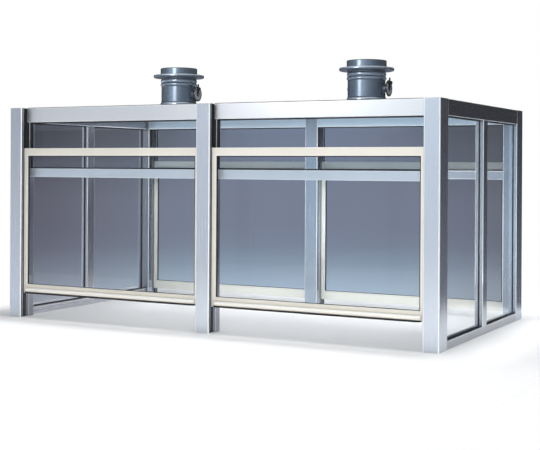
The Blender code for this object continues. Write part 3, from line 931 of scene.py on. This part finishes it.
def body_profile(low, top):
    """Closed (radius, z, look) loop of a damper body, with every band and rim rounded.

    look 0 is the coating, 1 painted shade in the grooves and on the flange rim, 2 a painted
    highlight on the lips.
    """
    roof = low + FOOT_UP
    flange = top - FLANGE_DOWN
    return [
        # Foot flange on the roof panel
        (TUBE_R - 2.0, low, 0), (TUBE_R - 2.0, roof, 0), (FOOT_R, roof, 1),
        (FOOT_R, roof + 3.0, 1), (FOOT_R - 1.0, roof + FOOT_T, 0), (BAND_R + 2.0, roof + 4.4, 1),
        # Low band, then the plain tube
        (BAND_R, roof + 6.5, 0), (BAND_R, top - 203.0, 2), (BAND_R - 0.6, top - 199.0, 2),
        (BAND_R - 2.4, top - 194.5, 1), (TUBE_R + 0.8, top - 191.0, 1),
        (TUBE_R, top - 188.5, 0), (TUBE_R, top - 105.0, 1), (TUBE_R, top - 101.0, 1),
        # Two swaged bands under the duct flange
        *bulge(BAND_R - 3.2, top - 99.5, top - 86.0, 3.2, (0, 0, 0, 2, 2, 0, 1)),
        (TUBE_R + 0.8, top - 84.6, 1), (TUBE_R + 0.8, top - 82.4, 1),
        *bulge(BAND_R - 4.6, top - 81.0, top - 63.0, 3.4, (0, 0, 0, 2, 0, 0, 1)),
        (BAND_R - 5.0, top - 61.5, 1), (BAND_R - 5.0, flange - 1.5, 1), (BAND_R - 3.5, flange, 1),
        # Duct flange
        (FLANGE_R - 6.0, flange, 1), (FLANGE_R - 2.2, flange + 1.0, 1),
        (FLANGE_R - 0.5, flange + 2.8, 1), (FLANGE_R, flange + 5.5, 1),
        (FLANGE_R, flange + 8.0, 2), (FLANGE_R - 0.8, flange + 14.2, 2),
        (FLANGE_R - 2.6, flange + 15.6, 0), (FLANGE_R - 5.0, flange + 16.0, 0),
        (BAND_R + 2.5, flange + 16.4, 1),
        # Collar above it and the bore
        (BAND_R, flange + 18.6, 0), (BAND_R, top - 4.0, 1), (BAND_R - 0.5, top - 1.2, 1),
        (BAND_R - 2.4, top, 0), (BORE_R + 2.4, top, 0), (BORE_R + 0.7, top - 0.8, 0),
        (BORE_R, top - 2.4, 0), (BORE_R, low, 0),
    ]


def rod(name, centre, radius, low, high, look):
    """A cutter along X."""
    return turned(name, "x", centre, [(radius, low), (radius, high)], [look], ROD_SEGMENTS)


def build_damper(looks, side):
    node_name = f"damper_body_{side}"
    x0, y0, x1, y1, low, top = box_of(node_name, "z")
    x, y = (x0 + x1) / 2, (y0 + y1) / 2
    dial = box_of(f"damper_dial_{side}", "x")
    axis = (y, (dial[1] + dial[3]) / 2)
    look = looks["damper"]
    # the coating with its painted shade and its painted highlight
    coats = [look, looks["damper_dark"], looks["damper_lip"]]
    name = f"damper_collar_{side}"
    body = turned(name, "z", (x, y), body_profile(low, top), coats, closed=True)
    # the boss takes the coating's painted shade all over
    boss = [
        (BOSS_R + 2.0, x + 95.0, 1), (BOSS_R + 2.0, x + 99.0, 1), (BOSS_R, x + 101.5, 1),
        (BOSS_R, x + BOSS_END - 1.0, 1), (BOSS_R - 1.0, x + BOSS_END, 1),
    ]
    bearing = [(10.5, x - 105.0), (12.0, x - 103.5), (12.0, x - 95.5)]
    added = [
        turned("boss", "x", axis, boss, coats, 64),
        turned("bearing", "x", axis, bearing, [look], ROD_SEGMENTS),
    ]
    combine(body, added, "UNION")
    bore = rod("bore", axis, SPINDLE_R + 0.15, x - 150.0, x + 150.0, look)
    combine(body, [bore], "DIFFERENCE")
    place(body, "frame", "grey_damper_plastic", node_name)
    build_screws(looks, side, (x, y), low + FOOT_UP + FOOT_T)
    build_blade(looks, side, x, axis)
    build_dial(looks, side, axis)
    build_lever(looks, side, axis)
    build_knob(looks, side)


def build_screws(looks, side, centre, seat):
    """Domed screws round the foot flange, as one group."""
    points, faces = [], []
    rows = len(SCREW_PROFILE)
    for s in range(SCREWS):
        around = 2 * pi * (s + 0.5) / SCREWS
        cx = centre[0] + (BAND_R + 12.5) * cos(around)
        cy = centre[1] + (BAND_R + 12.5) * sin(around)
        start = len(points)
        for radius, rise in SCREW_PROFILE:
            for i in range(SCREW_SEGMENTS):
                angle = 2 * pi * i / SCREW_SEGMENTS
                points.append((cx + radius * cos(angle), cy + radius * sin(angle), seat + rise))
        faces += wrap(rows, SCREW_SEGMENTS, start) + caps(rows, SCREW_SEGMENTS, start)
    made = finished(f"damper_screws_{side}", points, faces, [looks["steel"]])
    place(made, "frame", "dial_plate")


def build_blade(looks, side, x, axis):
    node_name = f"damper_blade_{side}"
    x0, z0, x1, z1, _, _ = box_of(node_name, "y")
    radius = (z1 - z0) / 2
    front, back = axis[0] - FLAP_T / 2, axis[0] + FLAP_T / 2
    rim = radius - 0.6
    edge = [(rim, front), (radius, front + 0.6), (radius, back - 0.6), (rim, back)]
    disc = turned(f"damper_flap_{side}", "y", (x, axis[1]), edge, [looks["damper"]])
    end = SPINDLE_R - 0.8
    shaft = [(end, x0), (SPINDLE_R, x0 + 0.8), (SPINDLE_R, x1 - 0.8), (end, x1)]
    spindle = turned("spindle", "x", axis, shaft, [looks["steel"]], ROD_SEGMENTS)
    combine(disc, [spindle], "UNION")
    place(disc, f"damper_{side}_blade", "grey_damper_plastic", node_name)


def arc_slot(centre):
    """Outline in (y, z) of the dial's arc slot."""
    first, last = SLOT_SPAN
    outer, inner = SLOT_RADIUS + SLOT_HALF, SLOT_RADIUS - SLOT_HALF
    outline = []
    for reach, order in ((outer, range(SLOT_STEPS + 1)), (inner, range(SLOT_STEPS, -1, -1))):
        for i in order:
            angle = radians(first + (last - first) * i / SLOT_STEPS)
            outline.append((centre[0] - reach * sin(angle), centre[1] + reach * cos(angle)))
    return outline


def build_dial(looks, side, axis):
    node_name = f"damper_dial_{side}"
    _, _, _, _, near, far = box_of(node_name, "x")
    plate_r = DIAL_R - DIAL_EDGE
    name = f"damper_dial_plate_{side}"
    plate = turned(name, "x", axis, [(plate_r, near), (plate_r, far)], [looks["dial"]])
    start, end = near - THROUGH, far + THROUGH
    slot = outline_prism("slot", arc_slot(axis), start, end, looks["dial"])
    hole = rod("hole", axis, SPINDLE_R + 0.4, start, end, looks["dial"])
    combine(plate, [slot, hole], "DIFFERENCE")
    soften(plate, 0.3)
    place(plate, "frame", "dial_plate", node_name)
    section = [
        (RIM_IN, far), (plate_r, far), (plate_r, near), (DIAL_R - 0.5, near),
        (DIAL_R, near + 0.6), (DIAL_R, far + 0.2), (DIAL_R - 0.6, far + RIM_UP),
        (RIM_IN + 0.5, far + RIM_UP), (RIM_IN, far + 0.4),
    ]
    rim = turned(f"damper_dial_rim_{side}", "x", axis, section, [looks["black"]], closed=True)
    place(rim, "frame", "black_plastic")
    build_ticks(looks, side, axis, far)


def build_ticks(looks, side, axis, far):
    """White scale marks on the rim, a long one at every third."""
    points, faces = [], []
    outer = DIAL_R - DIAL_EDGE
    for k in range(TICKS):
        angle = radians(90.0 * k / (TICKS - 1))
        inner = RIM_IN + (1.2 if k % 3 == 0 else 3.0)
        mark = ((inner, -TICK_HALF), (outer, -TICK_HALF), (outer, TICK_HALF), (inner, TICK_HALF))
        faces += caps(2, 4, len(points)) + wrap(2, 4, len(points))
        for x in (far + 0.6, far + 0.92):
            for reach, wide in mark:
                y = axis[0] - reach * sin(angle) + wide * cos(angle)
                z = axis[1] + reach * cos(angle) + wide * sin(angle)
                points.append((x, y, z))
    made = finished(f"damper_scale_{side}", points, faces, [looks["nylon"]])
    place(made, "frame", "dial_plate")


def build_lever(looks, side, axis):
    """Lever arm with round ends, about the spindle and above the lock stud."""
    node_name = f"damper_lever_{side}"
    y0, _, y1, z1, near, far = box_of(node_name, "x")
    hub = (y1 - y0) / 2
    outline = []
    for radius, z, first in ((hub, axis[1], pi), (LEVER_TIP, z1 - LEVER_TIP, 0.0)):
        for i in range(25):
            angle = first + pi * i / 24
            outline.append((axis[0] + radius * cos(angle), z + radius * sin(angle)))
    made = outline_prism(f"damper_lever_arm_{side}", outline, near, far, looks["black"])
    start, end = near - THROUGH, far + THROUGH
    stud = (axis[0], axis[1] + SLOT_RADIUS)
    holes = [
        rod("hub_hole", axis, SPINDLE_R + 0.3, start, end, looks["black"]),
        rod("stud_hole", stud, STUD_HOLE_R, start, end, looks["black"]),
    ]
    combine(made, holes, "DIFFERENCE")
    soften(made, 0.6)
    place(made, f"damper_{side}_blade", "black_plastic", node_name)


def build_knob(looks, side):
    """Lobed clamping knob on its stud."""
    node_name = f"damper_lock_knob_{side}"
    y0, z0, y1, z1, near, far = box_of(node_name, "x")
    centre = ((y0 + y1) / 2, (z0 + z1) / 2)
    reach = (z1 - z0) / 2
    nut = box_of(f"damper_dial_{side}", "x")[4] - 0.3
    head = far - KNOB_HEAD

    def lobes(angle, radius):
        deep = 0.07 * (0.5 + 0.5 * cos(KNOB_LOBES * angle)) if radius > reach - 3.0 else 0.0
        return 1.0 - deep

    section = [
        (5.5, near), (5.5, nut), (3.0, nut), (3.0, head), (reach - 1.2, head),
        (reach, head + 1.4), (reach, far - 2.6), (reach - 1.0, far - 0.8),
        (reach - 2.9, far), (3.0, far), (2.4, far - 0.6),
    ]
    name = f"damper_lock_{side}"
    made = turned(name, "x", centre, section, [looks["black"]], 84, wave=lobes)
    place(made, f"damper_{side}_lock", "black_plastic", node_name)


# ---- carried-over CAD nodes


def dress(looks):
    """Materials of the CAD nodes that stay."""
    kept = {"roof_panel": "roof"}
    for row in ROWS:
        for bay in SIDES:
            for pane in (f"upper_pane_{row}_{bay}", f"sash_pane_{row}_{bay}"):
                kept[pane] = "glass"
            kept[f"side_pane_{bay}_{row}"] = "glass"
            kept[f"counterweight_{row}_{bay}"] = "iron"
            kept[f"pulley_{row}_{bay}"] = "nylon"
    for name, look in kept.items():
        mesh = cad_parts[name].data
        mesh.materials.clear()
        mesh.materials.append(looks[look])


# ---- stage

FLOOR_REACH = {"left": 0.10, "right": 0.35, "front": 3.5, "rear": 0.28}
FLOOR_FADE = 0.30
SOFTBOX_WAY = (-0.208, -0.978)
GROUND_WAY = (-0.50, -0.866)
BACKDROP_WAY = (-0.446, 0.895)
AMBIENT = (0.32, 0.33, 0.35)
WALL_STOPS = [  # by how much the ray faces the softbox
    (0.0, (0.045, 0.045, 0.050)),
    (1.0, (0.80, 0.92, 1.06)),
    (0.30, (0.045, 0.046, 0.052)),
    (0.62, (0.13, 0.15, 0.185)),
    (0.86, (0.22, 0.24, 0.28)),
    (0.937, (0.52, 0.52, 0.58)),
    (0.962, (0.68, 0.70, 0.76)),
    (0.975, (0.90, 0.95, 1.00)),
]
HIGH_STOPS = [  # how much brighter the softbox is above the horizon
    (0.0, (1.22, 1.24, 1.20)),
    (1.0, (1.18, 1.20, 1.16)),
    (0.947, (0.97, 0.99, 0.96)),
    (0.9636, (0.93, 0.95, 0.92)),
    (0.9776, (1.0, 1.0, 1.0)),
    (0.9915, (1.16, 1.18, 1.14)),
]
LOW_GROUND = (1.45, 1.45, 1.38)
GROUND_STOPS = [  # by how much it faces the front left, where the ground is dimmer
    (0.0, (0.15, 0.155, 0.19)),
    (1.0, (0.60, 0.62, 0.70)),
    (0.35, (0.18, 0.19, 0.23)),
    (0.52, (0.40, 0.42, 0.48)),
    (0.66, (1.70, 1.75, 1.80)),
    (0.91, (1.70, 1.75, 1.80)),
    (0.965, (0.85, 0.90, 1.00)),
    (0.985, (0.64, 0.67, 0.76)),
]
BACKDROP_STOPS = [  # by height, from well below the horizon to just above it
    (0.0, (0.90, 1.0, 1.0)),
    (1.0, (0.175, 0.20, 0.25)),
    (0.291, (0.50, 0.60, 0.70)),
    (0.358, (0.32, 0.385, 0.465)),
    (0.4025, (0.253, 0.286, 0.357)),
    (0.45, (0.233, 0.252, 0.320)),
    (0.54, (0.224, 0.239, 0.300)),
    (0.714, (0.182, 0.200, 0.266)),
    (0.736, (0.20, 0.225, 0.30)),
]
SIDE_HIGH_STOPS = [  # the backdrop's dimming to either side, above the horizon
    (0.0, (0.25, 0.24, 0.22)),
    (1.0, (1.08, 1.14, 1.18)),
    (0.52, (0.42, 0.41, 0.36)),
    (0.68, (0.60, 0.57, 0.50)),
    (0.85, (0.70, 0.71, 0.66)),
    (0.93, (1.0, 1.0, 1.0)),
]
SIDE_LOW_STOPS = [  # and below it
    (0.0, (0.35, 0.31, 0.31)),
    (1.0, (0.98, 0.99, 1.03)),
    (0.52, (0.68, 0.61, 0.62)),
    (0.68, (0.82, 0.78, 0.77)),
    (0.85, (0.92, 0.93, 0.96)),
]
WHITE = (1.0, 1.0, 1.0)
PALE_BLUE = (0.85, 0.95, 1.0)
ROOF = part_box("roof_panel")[0].z
UNDER_ROOF = ROOF - 0.02
LAMPS = [  # name, watts, size, place, aimed at, colour, spread in degrees
    ("overhead", 134.0, (3.4, 0.9), (0.2, -0.30, 4.0), (0.2, -0.30, 0.0), WHITE, 180.0),
    ("inside", 12.5, (2.3, 0.4), (0.0, 0.24, UNDER_ROOF), (0.0, 0.24, 0.0), WHITE, 180.0),
    ("roof_wash", 6.0, (1.3, 0.7), (0.68, 0.15, 0.25), (0.68, 0.15, ROOF), PALE_BLUE, 180.0),
    ("rear_floor", 6.5, (1.8, 0.3), (0.28, 0.33, UNDER_ROOF), (0.28, 0.33, 0.0), WHITE, 60.0),
    ("behind", 8.0, (2.8, 0.5), (0.3, 1.15, 1.6), (0.3, 1.15, 0.0), WHITE, 60.0),
    ("beside", 0.75, (0.3, 1.4), (1.42, -0.05, 0.9), (1.42, -0.05, 0.0), WHITE, 30.0),
    ("apron", 5.5, (3.2, 1.0), (-0.2, -1.9, 2.6), (-0.2, -1.9, 0.0), WHITE, 45.0),
    ("strip", 10.0, (0.8, 0.9), (-0.34, -2.4, 1.82), (-0.34, 0.0, 1.3), WHITE, 180.0),
    ("front_fill", 110.0, (3.0, 1.6), (2.2, -4.8, 1.1), (0.3, 0.0, 0.6), (0.93, 0.98, 1.0), 180.0),
]
LENS_MM = 74.87
LENS_DROP = -0.1079
CAMERA_AT = (2.8857, -5.352, 0.8159)
CAMERA_TURN = 28.154
CAMERA_ROLL = 0.32


def build_floor():
    """Pale floor round the hood's footprint, fading out at its rim."""
    low, high = cad_box
    x0, x1 = low.x - FLOOR_REACH["left"], high.x + FLOOR_REACH["right"]
    y0, y1 = low.y - FLOOR_REACH["front"], high.y + FLOOR_REACH["rear"]
    out = FLOOR_FADE
    near, far = y0 - out, y1 + out
    mesh = bpy.data.meshes.new("floor")
    rim = [(x0 - out, near, 0), (x1 + out, near, 0), (x1 + out, far, 0), (x0 - out, far, 0)]
    mesh.from_pydata(rim, [], [(0, 1, 2, 3)])
    floor = bpy.data.objects.new("floor", mesh)
    bpy.context.scene.collection.objects.link(floor)
    made, tree, shader = material("pale_floor", 0.65)
    shader.inputs["Base Color"].default_value = (0.935, 0.93, 0.925, 1.0)
    spot = node(tree, "ShaderNodeTexCoord").outputs["Object"]
    split = node(tree, "ShaderNodeSeparateXYZ", {0: spot})
    solid = None
    for axis, edge, way in ((0, x0, -1), (0, x1, 1), (1, y0, -1), (1, y1, 1)):
        fade = node(
            tree, "ShaderNodeMapRange",
            {"Value": split.outputs[axis], "From Min": edge + way * out, "From Max": edge},
            interpolation_type="SMOOTHSTEP",
        ).outputs[0]
        solid = maths(tree, "MULTIPLY", solid, fade) if solid else fade
    show_mix(tree, solid, node(tree, "ShaderNodeBsdfTransparent"), shader)
    mesh.materials.append(made)


def ramp(tree, value, stops):
    """A colour ramp. Its first two stops are its ends."""
    made = node(tree, "ShaderNodeValToRGB", {"Fac": value})
    band = made.color_ramp
    for i, (at, colour) in enumerate(stops):
        stop = band.elements[i] if i < 2 else band.elements.new(at)
        stop.position = at
        stop.color = (*colour, 1.0)
    return made.outputs[0]


def build_world():
    """White to the camera, a graded backdrop through the panes, a studio in reflections."""
    world = bpy.data.worlds.new("studio")
    bpy.context.scene.world = world
    world.use_nodes = True
    tree = world.node_tree
    direction = node(tree, "ShaderNodeTexCoord").outputs["Generated"]
    height = node(tree, "ShaderNodeSeparateXYZ", {0: direction}).outputs[2]

    def between(value, low, high):
        return spread(tree, value, 0.0, 1.0, low, high)

    def facing(way):
        """How much the ray looks along a level direction, from 0 to 1."""
        dot = node(
            tree, "ShaderNodeVectorMath", {0: direction, 1: (*way, 0.0)}, operation="DOT_PRODUCT"
        ).outputs["Value"]
        return between(dot, -1.0, 1.0)

    # Reflections: a softbox wall at the front left, a dark studio at the back, lit ground below
    wall = ramp(tree, facing(SOFTBOX_WAY), WALL_STOPS)
    lift = ramp(tree, facing(SOFTBOX_WAY), HIGH_STOPS)
    wall = blend_colour(tree, between(height, 0.05, 0.09), wall, lift, mode="MULTIPLY")
    ground = ramp(tree, facing(GROUND_WAY), GROUND_STOPS)
    ground = blend_colour(tree, between(height, -0.09, -0.13), ground, LOW_GROUND, mode="MULTIPLY")
    studio = blend_colour(tree, between(height, -0.09, 0.03), ground, wall)
    studio = blend_colour(tree, between(height, 0.45, 0.95), studio, (0.75, 0.78, 0.82))

    # Through the panes: dark above, pale towards the ground, dimmer to either side
    backdrop = ramp(tree, between(height, -0.20, 0.12), BACKDROP_STOPS)
    aside = between(facing(BACKDROP_WAY), 0.975, 1.0)
    dimming = blend_colour(
        tree, between(height, -0.03, 0.03),
        ramp(tree, aside, SIDE_LOW_STOPS), ramp(tree, aside, SIDE_HIGH_STOPS),
    )
    backdrop = blend_colour(tree, 1.0, backdrop, dimming, mode="MULTIPLY")

    path = node(tree, "ShaderNodeLightPath")
    bounced = maths(tree, "ADD", path.outputs["Glossy Depth"], path.outputs["Diffuse Depth"])
    straight = maths(tree, "LESS_THAN", bounced, 0.5)
    seen = blend_colour(tree, path.outputs["Is Diffuse Ray"], studio, AMBIENT)
    seen = blend_colour(tree, straight, seen, backdrop)
    seen = blend_colour(tree, path.outputs["Is Camera Ray"], seen, (1.0, 1.0, 1.0))
    background = tree.nodes["Background"]
    tree.links.new(seen, background.inputs["Color"])
    background.inputs["Strength"].default_value = 1.0


def area_light(name, power, size, at, towards, colour, spread_angle):
    lamp = bpy.data.lights.new(name, "AREA")
    lamp.shape = "RECTANGLE"
    lamp.size, lamp.size_y = size
    lamp.energy = power
    lamp.color = colour
    lamp.spread = radians(spread_angle)
    made = bpy.data.objects.new(name, lamp)
    made.location = at
    made.rotation_mode = "QUATERNION"
    made.rotation_quaternion = (Vector(towards) - Vector(at)).to_track_quat("-Z", "Y")
    made.visible_camera = False
    made.visible_transmission = False
    bpy.context.scene.collection.objects.link(made)
    return made


def build_lights():
    """Every lamp lights surfaces without showing in them, but the strip, which only shows."""
    for name, *settings in LAMPS:
        made = area_light(name, *settings)
        if name == "strip":
            made.visible_diffuse = False
        else:
            made.visible_glossy = False


def build_camera():
    """Eye-level view from the front right, with a long lens and a small drop of the frame."""
    turn, roll = radians(CAMERA_TURN), radians(CAMERA_ROLL)
    level = Vector((cos(turn), sin(turn), 0.0))
    up = Vector((0.0, 0.0, 1.0))
    right = level * cos(roll) + up * sin(roll)
    top = up * cos(roll) - level * sin(roll)
    back = Vector((sin(turn), -cos(turn), 0.0))
    lens = bpy.data.cameras.new("camera")
    lens.sensor_width = 36.0
    lens.lens = LENS_MM
    lens.shift_y = LENS_DROP
    camera = bpy.data.objects.new("camera", lens)
    axes = Matrix((right, top, back)).transposed().to_4x4()
    camera.matrix_world = Matrix.Translation(CAMERA_AT) @ axes
    bpy.context.scene.collection.objects.link(camera)
    bpy.context.scene.camera = camera


def main():
    looks = make_materials()
    build_frame(looks)
    for row in ROWS:
        for bay in SIDES:
            build_sash(looks, row, bay)
    build_roof(looks)
    for side in SIDES:
        build_damper(looks, side)
    dress(looks)
    build_floor()
    build_world()
    build_lights()
    build_camera()
    bpy.context.scene.view_settings.view_transform = "Standard"


main()
